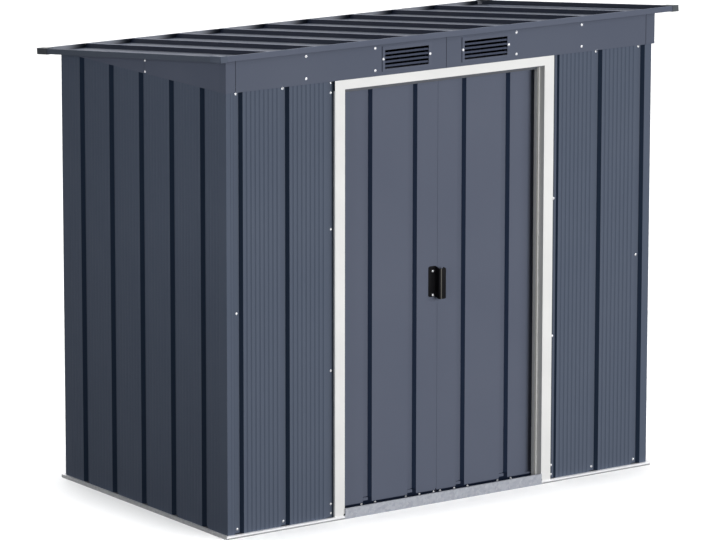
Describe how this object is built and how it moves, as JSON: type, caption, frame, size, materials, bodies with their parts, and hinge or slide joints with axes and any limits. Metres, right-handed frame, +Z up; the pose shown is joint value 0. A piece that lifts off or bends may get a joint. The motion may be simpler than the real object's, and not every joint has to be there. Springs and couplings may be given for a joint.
{
  "type": "metal storage shed",
  "caption": "Small garden shed of profiled painted sheet with a pent roof, sliding double doors in a white frame, louvred fascia vents and a galvanised base rail.",
  "frame": {"origin": "on the ground under the middle of the roof's outline", "axes": "+X to the right seen from the front, +Y to the rear, +Z up; the doors face -Y"},
  "size_m": [2.134, 1.2796, 1.8429],
  "materials": {
    "painted_sheet": "satin anthracite paint on thin profiled steel sheet",
    "white_frame": "satin white paint on folded steel",
    "galvanised": "galvanised steel with faint spangle",
    "black_plastic": "moulded black plastic, fine grain",
    "cap_plastic": "moulded dark grey plastic"
  },
  "bodies": {
    "shed": {"front_wall_left": "painted_sheet", "front_wall_right": "painted_sheet", "left_wall_front": "painted_sheet", "left_wall_rear": "painted_sheet", "right_wall_front": "painted_sheet", "right_wall_rear": "painted_sheet", "rear_wall_left": "painted_sheet", "rear_wall_middle": "painted_sheet", "rear_wall_right": "painted_sheet", "fascia_left": "painted_sheet", "fascia_right": "painted_sheet", "fascia_corners": "painted_sheet", "gable_left": "painted_sheet", "gable_right": "painted_sheet", "vent_left": "painted_sheet", "vent_right": "painted_sheet", "roof_sheet_left": "painted_sheet", "roof_sheet_middle": "painted_sheet", "roof_sheet_right": "painted_sheet", "roof_trim_front": "painted_sheet", "roof_trim_rear": "painted_sheet", "roof_trim_left": "painted_sheet", "roof_trim_right": "painted_sheet", "door_jamb_left": "white_frame", "door_jamb_right": "white_frame", "door_header": "white_frame", "base_rail_front": "galvanised", "base_rail_rear": "galvanised", "base_rail_left": "galvanised", "base_rail_right": "galvanised", "door_sill": "galvanised", "corner_posts": "galvanised", "wall_top_rails": "galvanised", "top_track": "galvanised", "foot_track": "galvanised", "roof_beam": "galvanised", "roof_corner_caps": "cap_plastic"},
    "left_door": {"left_leaf_sheet": "painted_sheet", "left_leaf_top_rail": "galvanised", "left_leaf_foot_rail": "black_plastic", "left_leaf_runners": "black_plastic", "left_leaf_pull": "black_plastic"},
    "right_door": {"right_leaf_sheet": "painted_sheet", "right_leaf_top_rail": "galvanised", "right_leaf_foot_rail": "black_plastic", "right_leaf_runners": "black_plastic"}
  },
  "joints": [
    {"name": "left_door_slide", "type": "slide", "parent": "shed", "child": "left_door", "axis": [-1, 0, 0], "range_m": [0, 0.43]},
    {"name": "right_door_slide", "type": "slide", "parent": "shed", "child": "right_door", "axis": [1, 0, 0], "range_m": [0, 0.43]}
  ]
}
